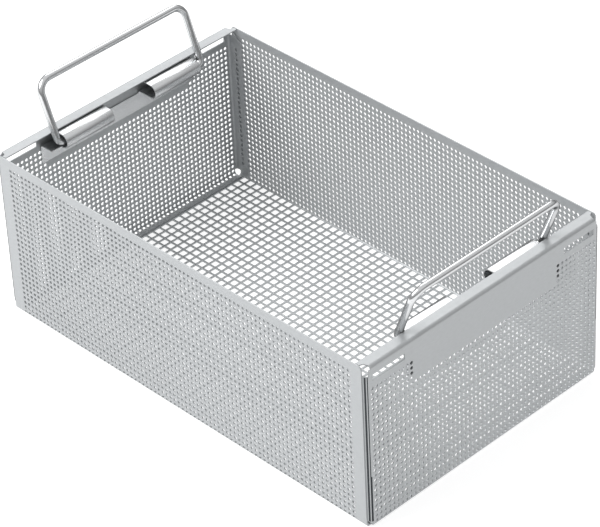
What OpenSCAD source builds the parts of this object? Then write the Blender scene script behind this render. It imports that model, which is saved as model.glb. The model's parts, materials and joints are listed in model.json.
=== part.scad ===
// Autoclave basket: a folded perforated trough closed by two folded perforated end walls,
// with a rolled hinge bracket inside each end wall and a bent-wire bail handle in each bracket.
// X runs along the length, Y across, Z up. The origin is under the middle of the floor.

/* [Basket] */
// Length over the two end walls
length = 400; // [300:1:600]
// Width over the two long walls
width = 250; // [200:1:320]
// Height from the underside of the floor to the rims
height = 148; // [110:1:220]

/* [Sheet] */
// Thickness of the trough and of the end walls
sheet = 1; // [0.8:0.1:1.5]
// Inside radius of the folds
fold_r = 2; // [1.2:0.1:3]
// Width of the rims folded inwards along the end walls
rim_w = 10.6; // [9:0.1:14]
// Radius of the relief notches at the rims' ends
notch_r = 4.5; // [3.5:0.1:6]
// Gap between a rim's ends and the long walls
rim_gap = 0.4; // [0.2:0.1:1]
// Width of the end walls' side flanges behind the long walls' edges
side_flange_w = 11.2; // [9.5:0.1:16]
// Size of the slanted cut at the top and the bottom of the side flanges
flange_cut = 9; // [4:0.1:9]
// Distance from an end wall's face to the edge of its floor flange
floor_flange_w = 8.2; // [7:0.1:14]
// Open groove between the long walls' edges and the end walls' faces
corner_groove = 4; // [3:0.1:6]
// Relief left open where two folds of one sheet meet
relief = 0.8; // [0.5:0.1:2]
// Radius of the long walls' top corners
corner_r = 3; // [1:0.1:6]

/* [Wall perforation] */
// Diameter of a round hole
hole_d = 3; // [2:0.1:3.6]
// Distance from hole to hole along a row
hole_pitch = 4.5; // [4:0.1:6]
// Distance from row to row
row_pitch = 4.7; // [4.4:0.1:6]
// Holes along each side of the group that one drawn opening stands for
hole_group = 5; // [4:1:8]
// Plain border at the upright edges of the long walls
side_border = 10.6; // [8:0.1:16]
// Plain border under the top edges of the long walls
top_border = 8.6; // [6:0.1:16]
// Plain border above the first row of the end walls
end_top_border = 18; // [15:0.5:26]

/* [Floor perforation] */
// Side of a square hole
square_w = 6; // [4:0.1:6.4]
// Distance from square to square
square_pitch = 7.5; // [7:0.1:9]
// Squares along each side of the group that one drawn opening stands for
square_group = 4; // [3:1:6]

/* [Slots] */
// Length of the slots near the top corners of the end walls
slot_w = 33; // [15:0.5:40]
// Height of the slots
slot_h = 5.2; // [3:0.1:7]
// Distance from a slot to the end of its wall
slot_side = 7.5; // [4:0.1:9]
// Distance from a slot to the top of its wall
slot_top = 8.3; // [6:0.1:12]

/* [Label panel] */
// Width of the plain panel in each end wall
panel_w = 152; // [100:1:160]
// Distance from the top of the wall to the foot of the plain panel
panel_h = 38.5; // [34:0.5:60]

/* [Hinge bracket] */
// Width of the bracket plate
bracket_w = 163; // [150:1:170]
// Height of the flat plate against the end wall
bracket_h = 15.5; // [10:0.5:24]
// Thickness of the bracket sheet
bracket_t = 1; // [0.8:0.1:1.5]
// Inside radius of the fold between the plate and the shelf
bracket_fold_r = 1.5; // [1:0.1:2]
// Length of each sleeve
sleeve_w = 49.5; // [30:0.5:52]
// Gap between the two sleeves
sleeve_gap = 44; // [20:1:46]
// How far the wings beside the sleeves reach out from the end wall's inner face
wing_reach = 14.5; // [6:0.1:14.5]
// Distance from the end wall's inner face to the middle of the handle's pins
pin_in = 16; // [14:0.1:18]
// Distance from the top of the rim down to the middle of the handle's pins
pin_drop = 8; // [8:0.1:10]
// Room around the pin inside its sleeve
pin_room = 2.2; // [0.4:0.1:2.4]

/* [Handle] */
// Diameter of the wire
wire_d = 6; // [4:0.1:6.5]
// Width of the handle between the middles of its legs
handle_w = 153; // [120:1:160]
// Distance from the pins to the middle of the grip
handle_r = 52; // [40:0.5:80]
// Radius of the grip's corners, to the middle of the wire
grip_corner_r = 11; // [6:0.5:20]
// Radius of the bend from each leg into its pin, to the middle of the wire
pin_corner_r = 5; // [3.5:0.1:8]
// Length of each pin from the middle of its leg
pin_len = 34; // [20:0.5:45]
// Gap between a handle and the rim it leans on
stop_gap = 0.15; // [0.05:0.05:0.5]
// How far each handle has slid along its sleeves
handle_slide = 1; // [0:0.1:1]

/* [Hidden] */
$fn = 48;
fold_o = fold_r + sheet;                       // outside radius of a fold
trough_l = length - 2 * corner_groove;         // the trough's free length
inner_w = width - 2 * sheet;                   // between the long walls
pin_z = height - pin_drop;
pin_x = length / 2 - sheet - pin_in;
curl_i = wire_d / 2 + pin_room;                // inside radius of a sleeve's curl
curl_o = curl_i + bracket_t;
shelf_z = pin_z - curl_o;                      // underside of the sleeves' shelf
plate_top = shelf_z - bracket_fold_r;          // where the bracket's plate ends and its folds begin
// The handle leans out until its wire meets the inner edge of the rim
stop_dx = length / 2 - rim_w - pin_x;
handle_lean = acos((wire_d / 2 + stop_gap) / norm([stop_dx, pin_drop])) - atan2(pin_drop, stop_dx);

steel = [0.74, 0.76, 0.78];
steel_bright = [0.86, 0.87, 0.89];
wire_steel = [0.66, 0.68, 0.70];

// A quarter ring in the quadrant +x, +y: the section of a right-angle fold
module fold_section(r_in, t) {
    intersection() {
        difference() {
            circle(r = r_in + t);
            circle(r = r_in);
        }
        square(r_in + t + 1);
    }
}

// Section of the trough: the floor, two folds and two long walls. 2D x is across, 2D y is up
module trough_section() {
    translate([-width / 2 + fold_o, 0]) square([width - 2 * fold_o, sheet]);
    for (side = [-1, 1]) scale([side, 1]) {
        translate([width / 2 - sheet, fold_o]) square([sheet, height - fold_o]);
        translate([width / 2 - fold_o, fold_o]) mirror([0, 1]) fold_section(fold_r, sheet);
    }
}

// One open field of a sheet, w wide and h high, drawn in 2D about the middle of the field. Each
// opening stands for a group of small holes with the same open area. Openings whose middle is
// in the plain panel are left out: it is panel wide and reaches down to y = foot
module open_field(w, h, step_x, step_y, panel = 0, foot = 0) {
    nx = max(1, round(w / step_x));
    ny = max(1, round(h / step_y));
    cell = [w / nx, h / ny];
    for (i = [0:nx - 1], j = [0:ny - 1]) {
        x = (i + 0.5) * cell.x - w / 2;
        y = (j + 0.5) * cell.y - h / 2;
        in_panel = abs(x) < panel / 2 && y > foot;
        if (!in_panel) translate([x, y]) children();
    }
}
// Openings that stand for the round holes of the walls
round_share = PI * pow(hole_d / 2, 2) / (hole_pitch * row_pitch);
module round_openings(w, h, panel = 0, foot = 0) {
    step = [hole_pitch, row_pitch] * hole_group;
    nx = max(1, round(w / step.x));
    ny = max(1, round(h / step.y));
    r = sqrt(round_share * (w / nx) * (h / ny) / (3 * sin(60)));
    open_field(w, h, step.x, step.y, panel, foot) circle(r = r, $fn = 6);
}

// Openings that stand for the square mesh of the floor
module square_openings(w, h) {
    step = square_pitch * square_group;
    nx = max(1, round(w / step));
    ny = max(1, round(h / step));
    open_field(w, h, step, step)
        square([w / nx, h / ny] * square_w / square_pitch, center = true);
}

module trough() {
    field_w = trough_l - 2 * side_border;
    field_h = height - top_border - fold_o;
    color(steel) difference() {
        rotate([90, 0, 90]) linear_extrude(trough_l, center = true) trough_section();
        // round holes through both long walls
        translate([0, 0, fold_o + field_h / 2]) rotate([90, 0, 0])
            linear_extrude(width + 2, center = true) round_openings(field_w, field_h);
        // square holes in the floor
        translate([0, 0, -1]) linear_extrude(sheet + 2)
            square_openings(length - 2 * floor_flange_w, width - 2 * fold_o);
        // rounded top corners of the long walls
        for (end = [0, 1]) mirror([end, 0, 0]) translate([trough_l / 2, 0, height])
            rotate([90, 0, 0]) linear_extrude(width + 2, center = true) corner_cut(corner_r);
    }
}

// What comes off a square corner at the origin to round it, below and left of the corner
module corner_cut(r) {
    difference() {
        translate([-r, -r]) square(r + 1);
        translate([-r, -r]) circle(r = r);
    }
}

// The right end wall: one sheet with a face, a rim, two side flanges and a floor flange
module end_wall() {
    face_x = length / 2;
    foot = sheet;                           // its floor flange lies on the trough's floor
    half = inner_w / 2;                     // its side flanges lie against the long walls
    face_w = inner_w - 2 * fold_o;
    face_h = height - foot - 2 * fold_o;
    fold_x = face_x - fold_o;
    rim_fold_w = 2 * (half - notch_r);
    field_h = height - end_top_border - foot - fold_o;
    color(steel) difference() {
        union() {
            // face
            translate([face_x - sheet, -face_w / 2, foot + fold_o]) cube([sheet, face_w, face_h]);
            // rim and its fold, with a round notch at each end
            translate([fold_x, 0, height - fold_o]) rotate([90, 0, 0])
                linear_extrude(rim_fold_w, center = true) fold_section(fold_r, sheet);
            translate([0, 0, height - sheet]) linear_extrude(sheet) difference() {
                translate([face_x - rim_w, rim_gap - half])
                    square([rim_w - fold_o, 2 * (half - rim_gap)]);
                for (side = [-1, 1]) translate([fold_x, side * half]) circle(r = notch_r);
            }
            // floor flange and its fold
            translate([fold_x, 0, foot + fold_o]) rotate([90, 0, 0])
                linear_extrude(face_w, center = true) mirror([0, 1]) fold_section(fold_r, sheet);
            translate([face_x - floor_flange_w, -face_w / 2, foot])
                cube([floor_flange_w - fold_o, face_w, sheet]);
            for (side = [0, 1]) mirror([0, side, 0]) side_flange(fold_x, half, foot + fold_o + relief);
        }
        // slots near the top corners
        for (side = [-1, 1])
            translate([face_x, side * (half + sheet - slot_side - slot_w / 2), height - slot_top - slot_h / 2])
                cube([4 * sheet, slot_w, slot_h], center = true);
        // round holes, with the plain panel left out
        translate([face_x, 0, foot + fold_o + field_h / 2]) rotate([90, 0, 90])
            linear_extrude(4 * sheet, center = true)
                round_openings(face_w, field_h, panel_w,
                    height - panel_h - (foot + fold_o + field_h / 2));
    }
}

// A side flange from the height foot up, and its fold. Both its ends are cut off at a slant
module side_flange(fold_x, half, foot) {
    edge_x = trough_l / 2 - side_flange_w;
    top = height - fold_o - relief;
    translate([fold_x, half - fold_o, foot]) linear_extrude(top - foot) fold_section(fold_r, sheet);
    translate([0, half, 0]) rotate([90, 0, 0]) linear_extrude(sheet)
        polygon([[fold_x, foot], [fold_x, top], [edge_x + flange_cut, top],
                 [edge_x, top - flange_cut], [edge_x, foot + flange_cut],
                 [edge_x + flange_cut, foot]]);
}

// The right hinge bracket: a plate whose top edge is folded into a shelf and curled back
// over itself twice, which leaves two sleeves for the handle's pins
module hinge_bracket() {
    u0 = length / 2 - sheet;                // the end wall's inner face
    sleeve_mid = (sleeve_gap + sleeve_w) / 2;
    wing_w = (bracket_w - sleeve_gap) / 2 - sleeve_w;
    color(steel_bright) translate([u0, 0, 0]) mirror([1, 0, 0]) {
        // plate, right across between the two sleeves
        translate([0, bracket_w / 2, 0]) rotate([90, 0, 0]) linear_extrude(bracket_w) plate_section();
        for (side = [-1, 1]) scale([1, side, 1]) {
            translate([0, sleeve_mid + sleeve_w / 2, 0]) rotate([90, 0, 0])
                linear_extrude(sleeve_w) sleeve_section();
            // wing of the shelf under the handle's leg
            translate([0, bracket_w / 2, 0]) rotate([90, 0, 0])
                linear_extrude(wing_w) shelf_section(wing_reach);
        }
    }
}

// Section of the flat plate against the end wall. 2D x runs away from the wall
module plate_section() {
    translate([0, plate_top - bracket_h]) square([bracket_t, bracket_h]);
}

// Section of the plate, its fold into the shelf, and the shelf out to reach
module shelf_section(reach) {
    plate_section();
    translate([bracket_t + bracket_fold_r, plate_top]) mirror([1, 0])
        fold_section(bracket_fold_r, bracket_t);
    translate([bracket_t + bracket_fold_r, shelf_z])
        square([reach - bracket_t - bracket_fold_r, bracket_t]);
}

// Section of a sleeve: the shelf, the curl around the pin and the lip that runs back to the wall
module sleeve_section() {
    lip = 2 * bracket_t;                    // gap behind the lip
    shelf_section(pin_in);
    for (turn = [0, -90]) translate([pin_in, pin_z]) rotate(turn) fold_section(curl_i, bracket_t);
    translate([lip, pin_z + curl_i]) square([pin_in - lip, bracket_t]);
}

// The right handle: a bent wire with two pins, two legs and a grip, leaning against the rim
module handle() {
    color(wire_steel) translate([pin_x, handle_slide, pin_z]) rotate([0, handle_lean, 0])
        for (side = [-1, 1]) scale([1, side, 1]) half_handle();
}

// Half of a handle in the plane YZ, with its pin's axis through the origin
module half_handle() {
    leg_y = handle_w / 2;
    leg_h = handle_r - pin_corner_r - grip_corner_r;
    // pin
    translate([0, leg_y - pin_len, 0]) rotate([-90, 0, 0]) cylinder(d = wire_d, h = pin_len - pin_corner_r);
    // bend from the pin into the leg
    translate([0, leg_y - pin_corner_r, pin_corner_r]) rotate([90, 0, 90]) rotate(-90)
        rotate_extrude(angle = 90) translate([pin_corner_r, 0]) circle(d = wire_d);
    // leg
    translate([0, leg_y, pin_corner_r]) cylinder(d = wire_d, h = leg_h);
    // corner of the grip
    translate([0, leg_y - grip_corner_r, handle_r - grip_corner_r]) rotate([90, 0, 90])
        rotate_extrude(angle = 90) translate([grip_corner_r, 0]) circle(d = wire_d);
    // half of the grip
    translate([0, 0, handle_r]) rotate([-90, 0, 0]) cylinder(d = wire_d, h = leg_y - grip_corner_r);
}

module end_wall_right() end_wall();
module end_wall_left() mirror([1, 0, 0]) end_wall();
module hinge_bracket_right() hinge_bracket();
module hinge_bracket_left() mirror([1, 0, 0]) hinge_bracket();
module handle_right() handle();
module handle_left() mirror([1, 0, 0]) handle();

trough();
end_wall_left();
end_wall_right();
hinge_bracket_left();
hinge_bracket_right();
handle_left();
handle_right();
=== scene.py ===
"""Autoclave basket: finely perforated folded sheets, rolled hinge brackets and bent-wire handles.

Every sheet is made as in the workshop: punched flat, bordered, folded line by line, then given
its thickness. Lengths are in metres, X runs along the basket, Y across and Z up.
"""
import json
import math

import bmesh
import bpy
from bpy.props import FloatProperty, FloatVectorProperty, IntProperty, PointerProperty
from mathutils import Matrix, Vector


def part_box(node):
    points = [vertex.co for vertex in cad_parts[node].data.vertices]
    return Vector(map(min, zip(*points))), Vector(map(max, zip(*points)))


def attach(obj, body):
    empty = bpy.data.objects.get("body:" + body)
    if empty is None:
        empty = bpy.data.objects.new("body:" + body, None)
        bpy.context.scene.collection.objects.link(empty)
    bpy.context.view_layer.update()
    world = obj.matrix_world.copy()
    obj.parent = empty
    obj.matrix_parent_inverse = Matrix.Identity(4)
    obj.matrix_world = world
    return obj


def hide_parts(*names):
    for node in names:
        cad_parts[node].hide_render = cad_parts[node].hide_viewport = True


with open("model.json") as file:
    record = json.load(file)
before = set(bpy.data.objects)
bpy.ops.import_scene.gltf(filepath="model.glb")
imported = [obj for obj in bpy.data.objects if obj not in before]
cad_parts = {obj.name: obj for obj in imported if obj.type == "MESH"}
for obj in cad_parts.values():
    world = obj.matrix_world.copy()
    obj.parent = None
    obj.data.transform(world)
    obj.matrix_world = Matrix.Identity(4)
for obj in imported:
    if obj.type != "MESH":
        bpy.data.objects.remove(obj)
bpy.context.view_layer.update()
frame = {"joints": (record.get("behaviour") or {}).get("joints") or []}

bl_info = {
    "name": "Autoclave Basket",
    "version": (1, 0, 0),
    "blender": (4, 5, 0),
    "location": "3D View > Sidebar > Basket",
    "description": "Builds a perforated autoclave basket with rolled hinges and two bail handles",
    "category": "Add Mesh",
}

MM = 0.001
TINY = 0.01 * MM                 # how far two places may lie apart and still be the same line
MERGE = 0.02 * MM                # vertices closer than this are one
BODY = "basket"

HOLE_SIDES = 12                  # straight edges round a punched hole
TILE_EDGES = HOLE_SIDES // 4     # edges on each side of the tile about it
FOLD_STEPS = 6                   # creases that make one right-angle fold
FOOT_STEPS = 5                   # tile edges from a side flange's lowest hole to its foot
CURL_STEPS = 24                  # steps round a sleeve
BEND_STEPS = 14                  # steps round a bend in the wire
WIRE_SIDES = 32                  # straight edges round the wire
CORNER_STEPS = 6                 # steps round a cut corner of a sheet
HOLLOW = 0.08                    # bevel profile of a corner that is cut hollow
SMOOTH_BELOW = math.radians(40)  # edges that bend less than this are shaded smooth

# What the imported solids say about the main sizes: the far corner of each box, and the pin
trough_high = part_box("trough")[1]
wall_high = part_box("end_wall_right")[1]
bracket_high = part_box("hinge_bracket_right")[1]
handle_low, handle_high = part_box("handle_right")
pin_place = Vector(next(j["pos_m"] for j in frame["joints"] if j["name"] == "right_handle_swing"))


# ---------------------------------------------------------------- sizes and colours

def length(name, description, default):
    return FloatProperty(name=name, description=description, default=default,
                         subtype="DISTANCE", unit="LENGTH", min=0)


def colour(name, description, default):
    return FloatVectorProperty(name=name, description=description, default=default,
                               subtype="COLOR", size=4, min=0, max=1)


class BASKET_PG_sheet(bpy.types.PropertyGroup):
    """Sizes that the trough and the end walls share"""
    thickness: length("Sheet", "Thickness of the sheets", 1 * MM)
    fold: length("Fold", "Outside radius of the folds", 3 * MM)
    hole: length("Hole", "Diameter of the round holes", 3 * MM)
    pitch: length("Pitch", "Distance from hole to hole along a row", 4.47 * MM)
    row_pitch: length("Row pitch", "Distance from row to row", 4.7 * MM)
    square: length("Square", "Side of the floor's square holes", 6 * MM)
    square_corner: length("Square corner", "Cut of the square holes' corners", 0.45 * MM)
    square_pitch: length("Square pitch", "Distance from square to square", 7.5 * MM)


class BASKET_PG_trough(bpy.types.PropertyGroup):
    """Sizes of the trough"""
    columns: IntProperty(name="Columns", description="Holes along a long wall", default=83)
    rows: IntProperty(name="Rows", description="Rows of holes up a long wall", default=30)
    first_row: length("First row", "Height of the lowest row, on the fold", 2.8 * MM)
    squares_x: IntProperty(name="Squares along", description="Squares along the floor", default=51)
    squares_y: IntProperty(name="Squares across", description="Squares across the floor",
                           default=33)
    corner: length("Corner", "Radius of the long walls' top corners", 3 * MM)


class BASKET_PG_end_wall(bpy.types.PropertyGroup):
    """Sizes of the two end walls"""
    columns: IntProperty(name="Columns", description="Holes across an end wall", default=54)
    rows: IntProperty(name="Rows", description="Rows below the plain panel", default=24)
    flange_rows: IntProperty(name="Flange rows", description="Holes up a side flange", default=25)
    panel_columns: IntProperty(name="Panel columns", description="Columns left out for the panel",
                               default=34)
    panel_rows: IntProperty(name="Panel rows", description="Rows left out for the panel", default=4)
    top_row: length("Top row", "Drop from the rim to the first row", 20.5 * MM)
    slot_top: length("Slot top", "Drop from the rim to the slots", 8.3 * MM)
    slot_height: length("Slot height", "Height of the slots", 5.2 * MM)
    slot_from: length("Slot from", "Distance of the slots' inner ends from the middle", 84.5 * MM)
    slot_to: length("Slot to", "Distance of the slots' outer ends from the middle", 117.5 * MM)
    rim: length("Rim", "Width of the folded rim", 10.6 * MM)
    rim_gap: length("Rim gap", "Gap between the rim's ends and the long walls", 0.4 * MM)
    notch: length("Notch", "Size of the notch at each end of the rim", 4.5 * MM)
    relief: length("Relief", "Opening left where the rim's fold meets a side fold", 0.8 * MM)
    side_flange: length("Side flange", "Reach of the side flanges from the end face", 15.2 * MM)
    flange_cut: length("Flange cut", "Slanted cut at both ends of the side flanges", 9 * MM)
    floor_flange: length("Floor flange", "Reach of the floor flange from the end face", 8.2 * MM)


class BASKET_PG_bracket(bpy.types.PropertyGroup):
    """Sizes of the rolled hinge brackets"""
    plate: length("Plate", "Height of the flat plate", 15.5 * MM)
    fold: length("Fold", "Outside radius of the fold into the shelf", 2.5 * MM)
    gap: length("Gap", "Gap between the two sleeves", 44 * MM)
    sleeve: length("Sleeve", "Length of a sleeve", 49.5 * MM)
    room: length("Room", "Room around the pin in its sleeve", 2.2 * MM)
    wing: length("Wing", "Reach of the wings beside the sleeves", 14.5 * MM)
    lip: length("Lip", "Gap between the wall and the curled lip", 2 * MM)
    edge: length("Edge", "Rounding of the sheet's edges", 0.2 * MM)


class BASKET_PG_handle(bpy.types.PropertyGroup):
    """Sizes of the bent-wire handles"""
    wire: length("Wire", "Diameter of the wire", 6 * MM)
    width: length("Width", "Width between the middles of the legs", 153 * MM)
    reach: length("Reach", "Distance from the pins to the grip", 52 * MM)
    corner: length("Corner", "Bend radius at the grip", 11 * MM)
    pin_bend: length("Pin bend", "Bend radius at the pins", 5 * MM)
    pin: length("Pin", "Length of a pin from its leg", 34 * MM)
    chamfer: length("Chamfer", "Rounding at the wire's ends", 0.5 * MM)


class BASKET_PG_finish(bpy.types.PropertyGroup):
    """Colours of the finishes"""
    sheet: colour("Sheet", "Satin perforated sheet", (0.46, 0.475, 0.485, 1))
    bracket: colour("Bracket", "Smooth rolled brackets", (0.68, 0.69, 0.70, 1))
    wire: colour("Wire", "Polished wire", (0.68, 0.69, 0.70, 1))
    # scale is painted shade: a near-black colour laid on the corner folds and the brackets' backs,
    # where shade falls
    scale: colour("Scale", "Colour of the shade painted in the corner grooves and behind the brackets",
                  (0.045, 0.05, 0.055, 1))
    floor: colour("Stage", "Pale lit table under the basket", (0.5, 0.5, 0.5, 1))


class BASKET_PG_stage(bpy.types.PropertyGroup):
    """Where the camera stands, and how strong the lights are"""
    azimuth: FloatProperty(name="Azimuth", description="Camera's direction in degrees",
                           default=47.0688)
    elevation: FloatProperty(name="Elevation", description="Camera's height in degrees",
                             default=36.4782)
    roll: FloatProperty(name="Roll", description="Camera's turn in degrees", default=-2.9465)
    distance: length("Distance", "From the camera to its target", 2.6343)
    target_x: FloatProperty(name="Target X", description="Where the camera looks",
                            default=-0.06987)
    target_y: FloatProperty(name="Target Y", description="Where the camera looks",
                            default=0.06943)
    lens: FloatProperty(name="Lens", description="Focal length in millimetres", default=195.294)
    sky: FloatProperty(name="Sky", description="Strength of the even light from above", default=0.8)
    horizon: FloatProperty(name="Horizon", description="Strength of the light from the sides",
                           default=0.2)
    key: FloatProperty(name="Key", description="Power of the soft light in front, in watts",
                       default=40)
    back: FloatProperty(name="Back", description="Power of the soft light behind, in watts",
                        default=14)
    glow: FloatProperty(name="Glow", description="Strength of the lit table's own light",
                        default=0.72)


SETTINGS = {
    "basket_sheet": BASKET_PG_sheet,
    "basket_trough": BASKET_PG_trough,
    "basket_end_wall": BASKET_PG_end_wall,
    "basket_bracket": BASKET_PG_bracket,
    "basket_handle": BASKET_PG_handle,
    "basket_finish": BASKET_PG_finish,
    "basket_stage": BASKET_PG_stage,
}


# ---------------------------------------------------------------- modelling helpers

def leave_edit_mode():
    if bpy.context.object and bpy.context.object.mode == "EDIT":
        bpy.ops.object.mode_set(mode="OBJECT")


def pick_none():
    leave_edit_mode()
    bpy.ops.object.select_all(action="DESELECT")


def pick(*pieces):
    """Select only these objects, the first one active"""
    pick_none()
    for piece in pieces:
        piece.select_set(True)
    bpy.context.view_layer.objects.active = pieces[0]


def edit(piece):
    """Open a piece in edit mode with nothing selected"""
    pick(piece)
    bpy.ops.object.mode_set(mode="EDIT")
    bpy.ops.mesh.select_mode(type="VERT")
    bpy.ops.mesh.select_all(action="DESELECT")


def select_where(test):
    """In edit mode, select the vertices whose place passes the test, and what they bound"""
    mesh = bpy.context.object.data
    shape = bmesh.from_edit_mesh(mesh)
    for vertex in shape.verts:
        vertex.select = test(vertex.co)
    shape.select_flush_mode()
    bmesh.update_edit_mesh(mesh)


def select_faces(test):
    """In edit mode, select the faces whose middle passes the test"""
    mesh = bpy.context.object.data
    shape = bmesh.from_edit_mesh(mesh)
    bpy.ops.mesh.select_mode(type="FACE")
    for face in shape.faces:
        face.select_set(test(face.calc_center_median()))
    bmesh.update_edit_mesh(mesh)


def grow(test, move, steps=1):
    """Extrude the edges whose vertices pass the test, and let the new edges follow the test"""
    bpy.ops.mesh.select_mode(type="VERT")
    select_where(test)
    for _ in range(steps):
        bpy.ops.mesh.extrude_edges_move(TRANSFORM_OT_translate={"value": Vector(move) / steps})


def clean_up():
    """In edit mode, merge the vertices that lie together and turn all the faces one way"""
    bpy.ops.mesh.select_all(action="SELECT")
    bpy.ops.mesh.remove_doubles(threshold=MERGE)
    bpy.ops.mesh.normals_make_consistent(inside=False)


def flip(piece):
    edit(piece)
    bpy.ops.mesh.select_all(action="SELECT")
    bpy.ops.mesh.flip_normals()
    leave_edit_mode()


def shade(piece):
    pick(piece)
    bpy.ops.object.shade_smooth_by_angle(angle=SMOOTH_BELOW)


def apply_modifier(piece, kind, **values):
    pick(piece)
    modifier = piece.modifiers.new(kind.title(), kind)
    for name, value in values.items():
        setattr(modifier, name, value)
    bpy.ops.object.modifier_apply(modifier=modifier.name)


def repeat(piece, count, step):
    apply_modifier(piece, "ARRAY", count=count, use_relative_offset=False,
                   use_constant_offset=True, constant_offset_displace=step,
                   use_merge_vertices=True, merge_threshold=TINY)


def weld(pieces):
    """Join pieces of one sheet and merge the vertices that they share"""
    pick(*pieces)
    bpy.ops.object.join()
    edit(pieces[0])
    clean_up()
    leave_edit_mode()
    return pieces[0]


def turn(angle, axis, centre):
    """Rotate what is selected. Without a window the operator turns the other way round"""
    bpy.ops.transform.rotate(value=-angle, orient_axis=axis, center_override=centre)


def sweep(steps, angle, axis, centre):
    """Spin what is selected into a bend. This operator too turns the other way round"""
    bpy.ops.mesh.spin(steps=steps, angle=-angle, axis=axis, center=centre)


def place(piece, rotation, location=(0, 0, 0)):
    pick(piece)
    piece.rotation_euler = rotation
    piece.location = location
    bpy.ops.object.transform_apply(location=True, rotation=True, scale=True)


def half_turn_copy(piece, name):
    """A copy on the other side of the basket, with its own mesh"""
    pick(piece)
    bpy.ops.object.duplicate()
    copy = bpy.context.object
    copy.name = copy.data.name = name
    turn(math.pi, "Z", (0, 0, 0))
    bpy.ops.object.transform_apply(location=True, rotation=True, scale=True)
    return copy


def face_up(piece):
    """Let a flat sheet's faces all look up, so that its thickness grows to the inside"""
    edit(piece)
    clean_up()
    leave_edit_mode()
    if piece.data.polygons[0].normal.z < 0:
        flip(piece)


def thicken(piece, thickness):
    """Turn a folded skin into sheet metal"""
    apply_modifier(piece, "SOLIDIFY", thickness=thickness, offset=1, use_even_offset=True)


# ---------------------------------------------------------------- punching and folding

def punched_tile(name, width, height, hole, sides, turned):
    """One flat tile of sheet with a hole of so many sides in its middle.
    hole is its width across the corners, and turned is the angle of its first corner"""
    pick_none()
    bpy.ops.mesh.primitive_plane_add(size=1)
    tile = bpy.context.object
    tile.name = tile.data.name = name
    bpy.ops.object.mode_set(mode="EDIT")
    bpy.ops.mesh.delete(type="ONLY_FACE")
    bpy.ops.mesh.select_all(action="SELECT")
    bpy.ops.transform.resize(value=(width, height, 1))
    if sides > 4:
        bpy.ops.mesh.subdivide(number_cuts=sides // 4 - 1)
    bpy.ops.mesh.primitive_circle_add(vertices=sides, radius=hole / 2, fill_type="NOTHING",
                                      rotation=(0, 0, turned))
    bpy.ops.mesh.select_all(action="SELECT")
    bpy.ops.mesh.bridge_edge_loops()
    leave_edit_mode()
    return tile


def round_hole_field(name, sheet, columns, rows, centre_x, low_row):
    """Rows of round holes, from the row at low_row upwards"""
    tile = punched_tile(name, sheet.pitch, sheet.row_pitch, sheet.hole, HOLE_SIDES,
                        math.pi / HOLE_SIDES)
    place(tile, (0, 0, 0), (centre_x - (columns - 1) / 2 * sheet.pitch, low_row, 0))
    repeat(tile, columns, (sheet.pitch, 0, 0))
    repeat(tile, rows, (0, sheet.row_pitch, 0))
    return tile


def square_hole_field(name, sheet, columns, rows):
    """Square holes with slightly cut corners, about the origin"""
    tile = punched_tile(name, sheet.square_pitch, sheet.square_pitch,
                        sheet.square * math.sqrt(2), 4, math.radians(45))
    edit(tile)
    inside = (sheet.square + sheet.square_pitch) / 4    # halfway from the hole to the tile's edge
    select_where(lambda co: abs(co.x) < inside)
    bpy.ops.mesh.bevel(offset=sheet.square_corner, affect="VERTICES", segments=1)
    leave_edit_mode()
    place(tile, (0, 0, 0), (-(columns - 1) / 2 * sheet.square_pitch,
                            -(rows - 1) / 2 * sheet.square_pitch, 0))
    repeat(tile, columns, (sheet.square_pitch, 0, 0))
    repeat(tile, rows, (0, sheet.square_pitch, 0))
    return tile


def hinge_lines(start, radius):
    """Where a fold that begins at start is creased, from its first line to its last"""
    step = radius * math.pi / 2 / FOLD_STEPS
    return [start + (i + 0.5) * step for i in range(FOLD_STEPS)]


def fold_up(piece, start, radius, out, within=None):
    """Fold all of a flat sheet that lies further out than start up by a right angle.
    out is the way to the folded edge: +X, -X, +Y or -Y. within limits what is folded"""
    out = Vector(out)
    axis = "Y" if out.x else "X"
    sense = -1 if (out.x > 0 or out.y < 0) else 1
    within = within or (lambda co: True)
    edit(piece)
    lines = hinge_lines(start, radius)
    for line in lines:
        select_faces(lambda co: co.dot(out) > start - radius and within(co))
        if piece_has_selection():
            bpy.ops.mesh.bisect(plane_co=out * line, plane_no=out)
    bpy.ops.mesh.select_mode(type="VERT")
    for line in reversed(lines):
        select_where(lambda co: co.dot(out) > line + TINY / 10 and within(co))
        turn(sense * math.pi / 2 / FOLD_STEPS, axis, out * line)
    leave_edit_mode()


def piece_has_selection():
    return any(face.select for face in bmesh.from_edit_mesh(bpy.context.object.data).faces)


# ---------------------------------------------------------------- the trough

def fold_start(sheet):
    """Distance from the basket's middle to where the trough's folds begin"""
    return trough_high.y - sheet.fold


def flat_height(sheet, height):
    """Where a height on the long wall lies in the flat sheet, measured from the middle"""
    return fold_start(sheet) + sheet.fold * math.pi / 2 + height - sheet.fold


def make_trough_floor(scene):
    sheet, trough = scene.basket_sheet, scene.basket_trough
    floor = square_hole_field("trough_floor", sheet, trough.squares_x, trough.squares_y)
    end = trough.squares_x / 2 * sheet.square_pitch
    edit(floor)
    for side in (-1, 1):
        grow(lambda co: co.x * side > end - TINY, (side * (trough_high.x - end), 0, 0))
    face_up(floor)
    for side in (-1, 1):
        fold_up(floor, fold_start(sheet), sheet.fold, (0, side, 0))
    thicken(floor, sheet.thickness)
    shade(floor)
    return floor


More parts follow.
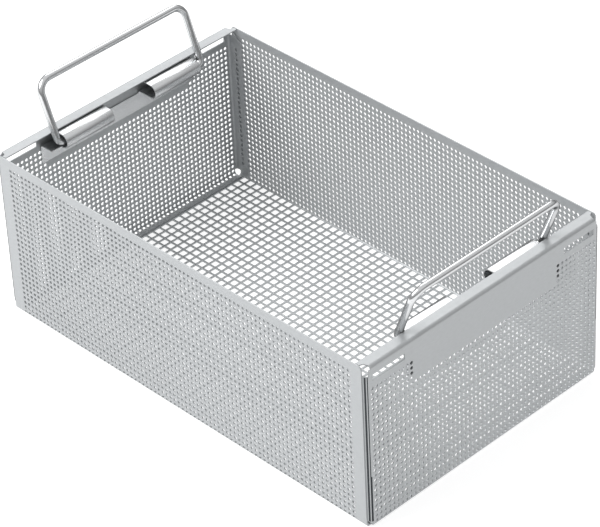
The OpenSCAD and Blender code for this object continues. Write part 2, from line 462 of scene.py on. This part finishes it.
def make_long_wall(scene):
    """The back wall with its fold, out from the edge of the floor's squares"""
    sheet, trough = scene.basket_sheet, scene.basket_trough
    low_row = flat_height(sheet, trough.first_row)
    wall = round_hole_field("long_wall_back", sheet, trough.columns, trough.rows, 0, low_row)
    end = trough.columns / 2 * sheet.pitch
    bottom = low_row - sheet.row_pitch / 2
    top = low_row + (trough.rows - 0.5) * sheet.row_pitch
    floor_edge = trough.squares_y / 2 * sheet.square_pitch
    rim = flat_height(sheet, trough_high.z)
    edit(wall)
    for side in (-1, 1):
        grow(lambda co: co.x * side > end - TINY, (side * (trough_high.x - end), 0, 0))
    grow(lambda co: co.y < bottom + TINY, (0, floor_edge - bottom, 0))
    grow(lambda co: co.y > top - TINY, (0, rim - top, 0))
    select_where(lambda co: co.y > rim - TINY and abs(co.x) > trough_high.x - TINY)
    bpy.ops.mesh.bevel(offset=trough.corner, affect="VERTICES", segments=CORNER_STEPS, profile=0.5)
    face_up(wall)
    fold_up(wall, fold_start(sheet), sheet.fold, (0, 1, 0))
    thicken(wall, sheet.thickness)
    shade(wall)
    return wall


# ---------------------------------------------------------------- the end walls

def make_end_wall(scene):
    """The right end wall, punched and folded flat on the ground, then stood up"""
    sheet, end = scene.basket_sheet, scene.basket_end_wall
    step = sheet.row_pitch / TILE_EDGES                 # length of one edge of a tile's side
    half = trough_high.y - sheet.thickness              # to the faces of the side flanges
    foot = sheet.thickness                              # the floor flange lies on the floor
    arc = sheet.fold * math.pi / 2
    side_line = half - sheet.fold                       # where the side folds begin
    rim_line = wall_high.z - sheet.fold                 # where the rim's fold begins
    foot_line = foot + sheet.fold                       # where the floor flange's fold begins
    panel_low = wall_high.z - end.top_row - (end.panel_rows - 0.5) * sheet.row_pitch
    low_row = panel_low - (end.rows - 0.5) * sheet.row_pitch
    low = low_row - sheet.row_pitch / 2
    high = panel_low + end.panel_rows * sheet.row_pitch
    width = end.columns / 2 * sheet.pitch
    panel = end.panel_columns / 2 * sheet.pitch

    # rows right across, and the short rows beside the panel
    parts = [round_hole_field("end_wall_sheet", sheet, end.columns, end.rows, 0, low_row)]
    beside = (end.columns - end.panel_columns) // 2
    for side in (-1, 1):
        parts.append(round_hole_field("beside_panel", sheet, beside, end.panel_rows,
                                      side * (panel + width) / 2, panel_low + sheet.row_pitch / 2))
    # one column of holes in each side flange
    flange_low = high - end.flange_rows * sheet.row_pitch
    flange_mid = width + 2.5 * sheet.pitch              # two columns are left out at the fold
    for side in (-1, 1):
        parts.append(round_hole_field("side_flange", sheet, 1, end.flange_rows, side * flange_mid,
                                      flange_low + sheet.row_pitch / 2))
    wall = weld(parts)

    edit(wall)
    # plain panel between the short rows
    grow(lambda co: abs(co.x) < panel + TINY and abs(co.y - panel_low) < TINY,
         (0, high - panel_low, 0), TILE_EDGES * end.panel_rows)
    # plain sheet from the holes out to each side flange's column, and on to its edge
    inner, outer = flange_mid - sheet.pitch / 2, flange_mid + sheet.pitch / 2
    edge = side_line + arc + end.side_flange - sheet.fold
    flange_foot = flange_low - FOOT_STEPS * step
    for side in (-1, 1):
        grow(lambda co: abs(co.x * side - width) < TINY, (side * (side_line - width), 0, 0))
        grow(lambda co: abs(co.x * side - inner) < TINY, (side * (side_line - inner), 0, 0))
        grow(lambda co: abs(co.x * side - outer) < TINY, (side * (edge - outer), 0, 0))
        # and down to the flange's foot
        grow(lambda co: co.x * side > side_line - TINY and abs(co.y - flange_low) < TINY,
             (0, flange_foot - flange_low, 0), FOOT_STEPS)
    clean_up()
    # plain sheet above the holes, in bands: under the slots, beside them, over them
    slot_high = wall_high.z - end.slot_top
    slot_low = slot_high - end.slot_height
    bands = [slot_low, slot_high, rim_line - end.relief]
    level = high
    for band in bands:
        grow(lambda co: abs(co.y - level) < TINY, (0, band - level, 0))
        level = band
    grow(lambda co: abs(co.x) < side_line + TINY and abs(co.y - level) < TINY,
         (0, rim_line - level, 0))
    # floor flange
    flange_edge = foot_line - arc - (end.floor_flange - sheet.fold)
    grow(lambda co: co.y < low + TINY, (0, flange_edge - low, 0))
    # rim, narrower along its fold, with a notch at each end
    rim_half = half - end.notch
    grow(lambda co: abs(co.x) < rim_half and co.y > rim_line - TINY, (0, arc, 0))
    rim_edge = rim_line + arc + end.rim - sheet.fold
    grow(lambda co: co.y > rim_line + arc - TINY, (0, rim_edge - rim_line - arc, 0))
    rim_end = half - end.rim_gap
    for side in (-1, 1):
        fold_end = max_x(lambda co: co.y > rim_edge - TINY)
        grow(lambda co: abs(co.x * side - fold_end) < TINY and co.y > rim_line + arc - TINY,
             (side * (rim_end - fold_end), 0, 0))
        select_where(lambda co: co.x * side > rim_end - TINY and
                     abs(co.y - rim_line - arc) < TINY)
        bpy.ops.mesh.bevel(offset=end.notch - end.rim_gap, affect="VERTICES",
                           segments=CORNER_STEPS, profile=HOLLOW)
    # slots
    select_faces(lambda co: slot_low < co.y < slot_high and
                 end.slot_from < abs(co.x) < end.slot_to)
    bpy.ops.mesh.delete(type="FACE")
    # slanted cuts at both ends of the side flanges
    reach = 2 * end.flange_cut
    for side in (-1, 1):
        for level, up in ((bands[-1], 1), (flange_foot, -1)):
            select_faces(lambda co: co.x * side > side_line + arc and co.y < rim_line and
                         abs(co.y - level) < reach)
            bpy.ops.mesh.bisect(plane_co=(side * edge, level - up * end.flange_cut, 0),
                                plane_no=(side, up, 0), clear_outer=True)
    face_up(wall)

    on_side = lambda co: flange_foot - TINY < co.y < bands[-1] + TINY
    for side in (-1, 1):
        fold_up(wall, side_line, sheet.fold, (side, 0, 0), on_side)
    fold_up(wall, rim_line, sheet.fold, (0, 1, 0))
    fold_up(wall, -foot_line, sheet.fold, (0, -1, 0))
    thicken(wall, sheet.thickness)
    shade(wall)
    place(wall, (math.pi / 2, 0, -math.pi / 2), (wall_high.x, 0, 0))
    return wall


def max_x(test):
    shape = bmesh.from_edit_mesh(bpy.context.object.data)
    return max(vertex.co.x for vertex in shape.verts if test(vertex.co))


# ---------------------------------------------------------------- brackets and handles

def make_bracket(scene):
    """The right bracket: a plate whose top is folded into a shelf and rolled over the pins"""
    size, handle, sheet = scene.basket_bracket, scene.basket_handle, scene.basket_sheet
    back = bracket_high.x                               # the end wall's inner face
    half = bracket_high.y
    curl = handle.wire / 2 + size.room                   # inside radius of the rolled sleeves
    shelf = pin_place.z - curl                          # top of the shelf
    plate_top = shelf - size.fold

    pick_none()
    bpy.ops.mesh.primitive_plane_add(size=1, rotation=(0, -math.pi / 2, 0),
                                     location=(back, 0, plate_top - size.plate / 2))
    bracket = bpy.context.object
    bracket.name = bracket.data.name = "rolled_bracket_right"
    bpy.ops.transform.resize(value=(1, 2 * half, size.plate))
    bpy.ops.object.transform_apply(location=True, rotation=True, scale=True)
    edit(bracket)
    sleeve_from, sleeve_to = size.gap / 2, size.gap / 2 + size.sleeve
    for line in (-sleeve_to, -sleeve_from, sleeve_from, sleeve_to):
        bpy.ops.mesh.select_all(action="SELECT")
        bpy.ops.mesh.bisect(plane_co=(0, line, 0), plane_no=(0, 1, 0))
    bpy.ops.mesh.select_mode(type="VERT")
    for side in (-1, 1):
        # fold and shelf, as far as the wing reaches
        select_where(lambda co: co.z > plate_top - TINY and co.y * side > sleeve_from - TINY)
        sweep(FOLD_STEPS, math.pi / 2, (0, -1, 0), (back - size.fold, 0, plate_top))
        grow(lambda co: abs(co.z - shelf) < TINY and abs(co.x - back + size.fold) < TINY
             and co.y * side > sleeve_from - TINY, (size.fold - size.wing, 0, 0))
        # the sleeve goes on, round the pin and back to the wall
        on_sleeve = lambda co: sleeve_from - TINY < co.y * side < sleeve_to + TINY
        grow(lambda co: abs(co.x - back + size.wing) < TINY and on_sleeve(co),
             (pin_place.x - back + size.wing, 0, 0))
        select_where(lambda co: abs(co.x - pin_place.x) < TINY and on_sleeve(co))
        sweep(CURL_STEPS, math.pi, (0, 1, 0), pin_place)
        grow(lambda co: co.z > pin_place.z + curl - TINY and abs(co.x - pin_place.x) < TINY
             and on_sleeve(co), (back - size.lip - pin_place.x, 0, 0))
    clean_up()
    leave_edit_mode()
    plate = min(bracket.data.polygons, key=lambda face: face.center.z)
    if plate.normal.x > 0:
        flip(bracket)
    thicken(bracket, sheet.thickness)
    apply_modifier(bracket, "BEVEL", width=size.edge, segments=2, limit_method="ANGLE",
                   angle_limit=math.radians(50))
    shade(bracket)
    return bracket


def make_handle(scene):
    """The right handle, leaning out on its rim. One half is bent from wire and mirrored"""
    size = scene.basket_handle
    radius = size.wire / 2
    leg = size.width / 2
    lean = math.asin((handle_high.x - radius - pin_place.x) / size.reach)

    pick_none()
    bpy.ops.mesh.primitive_circle_add(vertices=WIRE_SIDES, radius=radius, fill_type="NGON",
                                      rotation=(math.pi / 2, 0, 0),
                                      location=(0, leg - size.pin, 0))
    handle = bpy.context.object
    handle.name = handle.data.name = "wire_handle_right"
    bpy.ops.object.transform_apply(location=True, rotation=True, scale=True)
    edit(handle)

    def straight(move):
        bpy.ops.mesh.extrude_region_move(TRANSFORM_OT_translate={"value": move})

    # pin, bend, leg, corner, half of the grip
    bpy.ops.mesh.select_all(action="SELECT")
    straight((0, size.chamfer, 0))
    straight((0, size.pin - size.pin_bend - size.chamfer, 0))
    sweep(BEND_STEPS, math.pi / 2, (1, 0, 0), (0, leg - size.pin_bend, size.pin_bend))
    straight((0, 0, size.reach - size.pin_bend - size.corner))
    sweep(BEND_STEPS, math.pi / 2, (1, 0, 0), (0, leg - size.corner, size.reach - size.corner))
    straight((0, -(leg - size.corner), 0))
    bpy.ops.mesh.delete(type="FACE")
    # the pin's free end is slightly rounded
    select_where(lambda co: co.y < leg - size.pin + TINY and co.z < size.reach / 2)
    bpy.ops.transform.resize(value=(1 - size.chamfer / radius,) * 3,
                             center_override=(0, leg - size.pin, 0))
    leave_edit_mode()
    apply_modifier(handle, "MIRROR", use_axis=(False, True, False), use_clip=True,
                   merge_threshold=TINY)
    edit(handle)
    clean_up()
    turn(lean, "Y", (0, 0, 0))
    shade(handle)
    place(handle, (0, 0, 0), (pin_place.x, 0, pin_place.z))
    return handle


# ---------------------------------------------------------------- finishes

def metal_wear():
    """Node group: the fine grain and the soft clouding of a worked metal"""
    group = bpy.data.node_groups.new("Metal wear", "ShaderNodeTree")
    face = group.interface
    for name, kind, default in (("Tint", "NodeSocketColor", (0.5, 0.5, 0.5, 1)),
                                ("Clouding", "NodeSocketFloat", 0.1),
                                ("Grain", "NodeSocketFloat", 400.0),
                                ("Stretch", "NodeSocketVector", (0.05, 1, 1)),
                                ("Low roughness", "NodeSocketFloat", 0.3),
                                ("High roughness", "NodeSocketFloat", 0.45)):
        socket = face.new_socket(name, in_out="INPUT", socket_type=kind)
        socket.default_value = default
    for name, kind in (("Color", "NodeSocketColor"), ("Roughness", "NodeSocketFloat"),
                       ("Height", "NodeSocketFloat")):
        face.new_socket(name, in_out="OUTPUT", socket_type=kind)

    node, link = group.nodes.new, group.links.new
    entry, leave = node("NodeGroupInput"), node("NodeGroupOutput")
    place_of = node("ShaderNodeTexCoord")
    stretch = node("ShaderNodeVectorMath")
    stretch.operation = "MULTIPLY"
    grain = node("ShaderNodeTexNoise")
    grain.inputs["Detail"].default_value = 3
    cloud = node("ShaderNodeTexNoise")
    cloud.inputs["Scale"].default_value = 9
    cloud.inputs["Detail"].default_value = 4
    link(place_of.outputs["Object"], stretch.inputs[0])
    link(entry.outputs["Stretch"], stretch.inputs[1])
    link(stretch.outputs[0], grain.inputs["Vector"])
    link(entry.outputs["Grain"], grain.inputs["Scale"])
    link(place_of.outputs["Object"], cloud.inputs["Vector"])

    # the tint, a little darker and lighter in soft clouds and along the grain
    both, swing, amount = (node("ShaderNodeMath") for _ in range(3))
    both.operation, swing.operation, amount.operation = "ADD", "SUBTRACT", "MULTIPLY_ADD"
    swing.inputs[1].default_value = 1
    amount.inputs[2].default_value = 1
    tinted = node("ShaderNodeMix")
    tinted.data_type = "RGBA"
    tinted.blend_type = "MULTIPLY"
    tinted.inputs["Factor"].default_value = 1
    link(grain.outputs["Fac"], both.inputs[0])
    link(cloud.outputs["Fac"], both.inputs[1])
    link(both.outputs[0], swing.inputs[0])
    link(swing.outputs[0], amount.inputs[0])
    link(entry.outputs["Clouding"], amount.inputs[1])
    link(entry.outputs["Tint"], tinted.inputs["A"])
    link(amount.outputs[0], tinted.inputs["B"])
    link(tinted.outputs["Result"], leave.inputs["Color"])

    rough = node("ShaderNodeMapRange")
    rough.inputs["From Min"].default_value = 0.3
    rough.inputs["From Max"].default_value = 0.7
    link(cloud.outputs["Fac"], rough.inputs["Value"])
    link(entry.outputs["Low roughness"], rough.inputs["To Min"])
    link(entry.outputs["High roughness"], rough.inputs["To Max"])
    link(rough.outputs[0], leave.inputs["Roughness"])
    link(grain.outputs["Fac"], leave.inputs["Height"])
    return group


def metal(name, wear, tint, clouding, grain, stretch, low, high, bump, edge, shine):
    """A steel finish. low and high are the range of its roughness, bump the depth of the grain,
    edge how bright grazing light comes back, and shine how far it mirrors rather than scatters"""
    material = bpy.data.materials.new(name)
    material.use_nodes = True
    nodes, link = material.node_tree.nodes, material.node_tree.links.new
    surface = nodes["Principled BSDF"]
    surface.inputs["Metallic"].default_value = shine
    surface.inputs["Specular Tint"].default_value = (edge, edge, edge, 1)
    worn = nodes.new("ShaderNodeGroup")
    worn.node_tree = wear
    worn.inputs["Tint"].default_value = tint
    worn.inputs["Clouding"].default_value = clouding
    worn.inputs["Grain"].default_value = grain
    worn.inputs["Stretch"].default_value = stretch
    worn.inputs["Low roughness"].default_value = low
    worn.inputs["High roughness"].default_value = high
    relief = nodes.new("ShaderNodeBump")
    relief.inputs["Distance"].default_value = bump
    relief.inputs["Strength"].default_value = 0.5
    link(worn.outputs["Color"], surface.inputs["Base Color"])
    link(worn.outputs["Roughness"], surface.inputs["Roughness"])
    link(worn.outputs["Height"], relief.inputs["Height"])
    link(relief.outputs["Normal"], surface.inputs["Normal"])
    return material


def finishes(scene):
    """The steel finishes, made once"""
    if "Satin sheet" not in bpy.data.materials:
        colours, wear = scene.basket_finish, metal_wear()
        metal("Satin sheet", wear, colours.sheet, clouding=0.16, grain=900,
              stretch=(0.25, 0.25, 1), low=0.42, high=0.52, bump=0.02 * MM, edge=0.6, shine=0.5)
        metal("Rolled bracket", wear, colours.bracket, clouding=0.08, grain=600,
              stretch=(1, 0.04, 1), low=0.2, high=0.3, bump=0.01 * MM, edge=0.3, shine=0.95)
        # painted shade: a near-black finish that stands in for the shade in the corner grooves and
        # behind the brackets
        metal("Weld scale", wear, colours.scale, clouding=0.3, grain=300,
              stretch=(1, 1, 1), low=0.5, high=0.7, bump=0.03 * MM, edge=0.3, shine=0.6)
        metal("Polished wire", wear, colours.wire, clouding=0.06, grain=700,
              stretch=(1, 0.3, 1), low=0.12, high=0.2, bump=0.006 * MM, edge=0.1, shine=0.9)
    return bpy.data.materials


def dress(piece, scene, finish, body):
    """Give a piece its finish, and let it ride on its body"""
    piece.data.materials.clear()
    piece.data.materials.append(finishes(scene)[finish])
    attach(piece, body)


def paint_shade_faces(piece, finish, test):
    """Paint shade: give the near-black second finish to the faces whose middle and normal pass the
    test
    """
    piece.data.materials.append(bpy.data.materials[finish])
    for face in piece.data.polygons:
        if test(face.center, face.normal):
            face.material_index = 1


# ---------------------------------------------------------------- operators

class BASKET_OT_trough(bpy.types.Operator):
    """Fold the floor and the two long walls of the trough"""
    bl_idname = "basket.trough"
    bl_label = "Trough"

    def execute(self, context):
        scene = context.scene
        floor = make_trough_floor(scene)
        back = make_long_wall(scene)
        front = half_turn_copy(back, "long_wall_front")
        for piece in (floor, back, front):
            dress(piece, scene, "Satin sheet", BODY)
        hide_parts("trough")
        return {"FINISHED"}


class BASKET_OT_end_walls(bpy.types.Operator):
    """Fold the two end walls with their rims, flanges and slots"""
    bl_idname = "basket.end_walls"
    bl_label = "End walls"

    def execute(self, context):
        scene = context.scene
        right = make_end_wall(scene)
        left = half_turn_copy(right, "end_wall_sheet_left")
        right.name = right.data.name = "end_wall_sheet_right"
        # painted shade: in these bands round each side fold, the outer faces get the near-black
        # finish, for the shade in the groove beside the long wall
        grooves = (15, 38), (58, 75)                    # the dark parts of the fold, in degrees
        bend_from = wall_high.x - scene.basket_sheet.fold

        def in_shaded_groove(middle, normal):
            around = math.degrees(math.atan2(abs(normal.x), abs(normal.y)))
            outward = middle.x * normal.x > 0 and middle.y * normal.y > 0
            return (outward and abs(normal.z) < 0.1 and abs(middle.x) > bend_from
                    and any(low < around < high for low, high in grooves))

        for piece in (right, left):
            dress(piece, scene, "Satin sheet", BODY)
            paint_shade_faces(piece, "Weld scale", in_shaded_groove)
        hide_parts("end_wall_right")
        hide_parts("end_wall_left")
        return {"FINISHED"}


class BASKET_OT_brackets(bpy.types.Operator):
    """Roll the two hinge brackets"""
    bl_idname = "basket.brackets"
    bl_label = "Hinge brackets"

    def execute(self, context):
        scene = context.scene
        right = make_bracket(scene)
        left = half_turn_copy(right, "rolled_bracket_left")
        for piece in (right, left):
            dress(piece, scene, "Rolled bracket", BODY)
            # painted shade: the plates' back faces against the end wall get the near-black finish,
            # so that the holes in front of them look shaded
            paint_shade_faces(piece, "Weld scale", lambda middle, normal:
                   abs(middle.x) > bracket_high.x - 0.1 * MM and middle.x * normal.x > 0)
        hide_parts("hinge_bracket_right")
        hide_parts("hinge_bracket_left")
        return {"FINISHED"}


class BASKET_OT_handles(bpy.types.Operator):
    """Bend the two wire handles"""
    bl_idname = "basket.handles"
    bl_label = "Handles"

    def execute(self, context):
        scene = context.scene
        right = make_handle(scene)
        left = half_turn_copy(right, "wire_handle_left")
        slide = (handle_low.y + handle_high.y) / 2
        for piece, side in ((right, "right"), (left, "left")):
            place(piece, (0, 0, 0), (0, slide, 0))
            dress(piece, scene, "Polished wire", side + "_handle")
            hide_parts("handle_" + side)
        return {"FINISHED"}


class BASKET_OT_stage(bpy.types.Operator):
    """Set the pale floor, the soft lights and the camera"""
    bl_idname = "basket.stage"
    bl_label = "Stage"

    def execute(self, context):
        scene = context.scene
        make_floor(scene)
        make_lights(scene)
        make_camera(scene)
        return {"FINISHED"}


# ---------------------------------------------------------------- stage

def make_floor(scene):
    pick_none()
    bpy.ops.mesh.primitive_plane_add(size=8, location=(0, 0, -0.2 * MM))
    floor = bpy.context.object
    floor.name = "studio_floor"
    paint = bpy.data.materials.new("Pale floor")
    paint.use_nodes = True
    surface = paint.node_tree.nodes["Principled BSDF"]
    surface.inputs["Base Color"].default_value = scene.basket_finish.floor
    surface.inputs["Roughness"].default_value = 0.9
    surface.inputs["Emission Color"].default_value = (1, 1, 1, 1)
    surface.inputs["Emission Strength"].default_value = scene.basket_stage.glow
    floor.data.materials.append(paint)


def aim(thing, place_at, target):
    thing.location = place_at
    thing.rotation_euler = (Vector(target) - Vector(place_at)).to_track_quat("-Z", "Y").to_euler()


def make_lights(scene):
    world = bpy.data.worlds.new("Studio")
    world.use_nodes = True
    nodes, link = world.node_tree.nodes, world.node_tree.links.new
    nodes["Background"].inputs["Color"].default_value = (1, 1, 1, 1)
    # a studio whose walls get darker towards the ground
    way = nodes.new("ShaderNodeTexCoord")
    height = nodes.new("ShaderNodeSeparateXYZ")
    ramp = nodes.new("ShaderNodeMapRange")
    ramp.inputs["From Min"].default_value = 0.1
    ramp.inputs["From Max"].default_value = 0.8
    ramp.inputs["To Min"].default_value = scene.basket_stage.horizon
    ramp.inputs["To Max"].default_value = scene.basket_stage.sky
    link(way.outputs["Generated"], height.inputs[0])
    link(height.outputs["Z"], ramp.inputs["Value"])
    link(ramp.outputs[0], nodes["Background"].inputs["Strength"])
    scene.world = world
    for name, place_at, size, power in (("Key", (-0.9, -1.3, 1.7), 1.4, scene.basket_stage.key),
                                        ("Back", (-1.3, 1.2, 1.5), 1.5, scene.basket_stage.back)):
        pick_none()
        bpy.ops.object.light_add(type="AREA")
        light = bpy.context.object
        light.name = name
        light.data.size = size
        light.data.energy = power
        aim(light, place_at, (0, 0, 0.07))


def make_camera(scene):
    stage = scene.basket_stage
    azimuth, elevation, roll = (math.radians(angle) for angle in (stage.azimuth, stage.elevation,
                                                                  stage.roll))
    back = Vector((math.sin(azimuth) * math.cos(elevation),
                   -math.cos(azimuth) * math.cos(elevation), math.sin(elevation)))
    right = Vector((math.cos(azimuth), math.sin(azimuth), 0))
    up = back.cross(right)
    turned_right = math.cos(roll) * right + math.sin(roll) * up
    turned_up = -math.sin(roll) * right + math.cos(roll) * up
    pick_none()
    bpy.ops.object.camera_add()
    camera = bpy.context.object
    spot = Vector((stage.target_x, stage.target_y, 0)) + stage.distance * back
    camera.matrix_world = Matrix.Translation(spot) @ Matrix(
        (turned_right, turned_up, back)).transposed().to_4x4()
    camera.data.lens = stage.lens
    camera.data.sensor_width = 36
    camera.data.sensor_fit = "HORIZONTAL"
    camera.data.clip_end = 50
    scene.camera = camera
    scene.view_settings.view_transform = "Standard"


# ---------------------------------------------------------------- add-on

OPERATORS = (BASKET_OT_trough, BASKET_OT_end_walls, BASKET_OT_brackets, BASKET_OT_handles,
             BASKET_OT_stage)


class BASKET_PT_panel(bpy.types.Panel):
    """Lists the steps that build the basket"""
    bl_idname = "BASKET_PT_panel"
    bl_label = "Autoclave basket"
    bl_space_type = "VIEW_3D"
    bl_region_type = "UI"
    bl_category = "Basket"

    def draw(self, context):
        for operator in OPERATORS:
            self.layout.operator(operator.bl_idname)
        for name, group in SETTINGS.items():
            box = self.layout.box()
            for value in group.__annotations__:
                box.prop(getattr(context.scene, name), value)


CLASSES = (*SETTINGS.values(), *OPERATORS, BASKET_PT_panel)


def register():
    for cls in CLASSES:
        bpy.utils.register_class(cls)
    for name, group in SETTINGS.items():
        setattr(bpy.types.Scene, name, PointerProperty(type=group))


def unregister():
    for name in SETTINGS:
        delattr(bpy.types.Scene, name)
    for cls in reversed(CLASSES):
        bpy.utils.unregister_class(cls)


def main():
    register()
    bpy.ops.basket.trough()
    bpy.ops.basket.end_walls()
    bpy.ops.basket.brackets()
    bpy.ops.basket.handles()
    bpy.ops.basket.stage()


if __name__ == "__main__":
    main()
